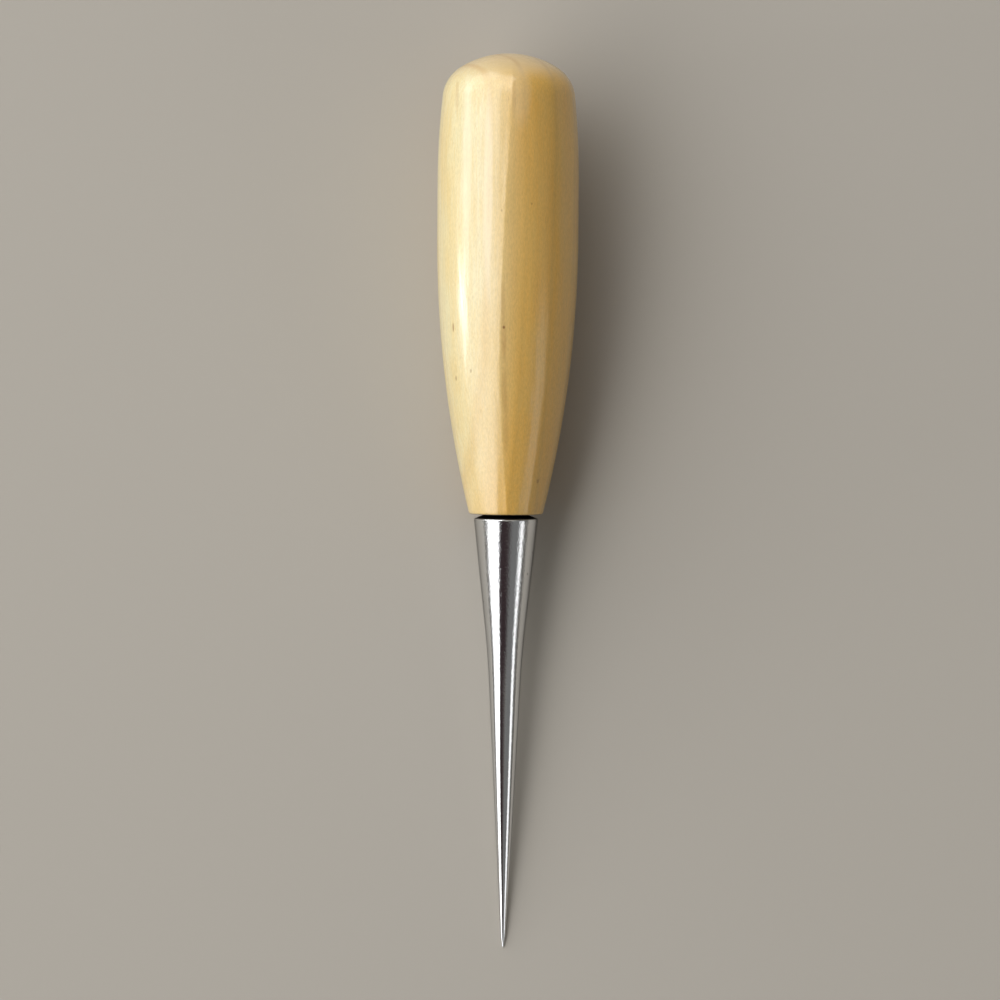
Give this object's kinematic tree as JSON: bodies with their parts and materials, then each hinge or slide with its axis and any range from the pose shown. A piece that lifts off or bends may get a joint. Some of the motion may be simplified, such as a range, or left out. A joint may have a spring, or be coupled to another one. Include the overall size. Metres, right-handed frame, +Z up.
{
  "type": "awl",
  "caption": "Pricking awl: barrel-shaped lacquered wooden handle with a domed butt, and a round plated steel blade that tapers through a concave blend to a needle point.",
  "frame": {"origin": "on the table that the tool lies on, under the middle of its length", "axes": "+Z up, +Y along the tool towards the butt of the handle, +X across it; the tool's own axis rises about 6.1 degrees towards +Y, because it rests on its point and on the handle's front taper"},
  "size_m": [0.0206, 0.1298, 0.0229],
  "materials": {
    "lacquered_wood": "clear gloss lacquer",
    "plated_steel": "polished bright plating"
  },
  "bodies": {
    "root": {"handle": "lacquered_wood", "blade": "plated_steel"}
  },
  "joints": []
}
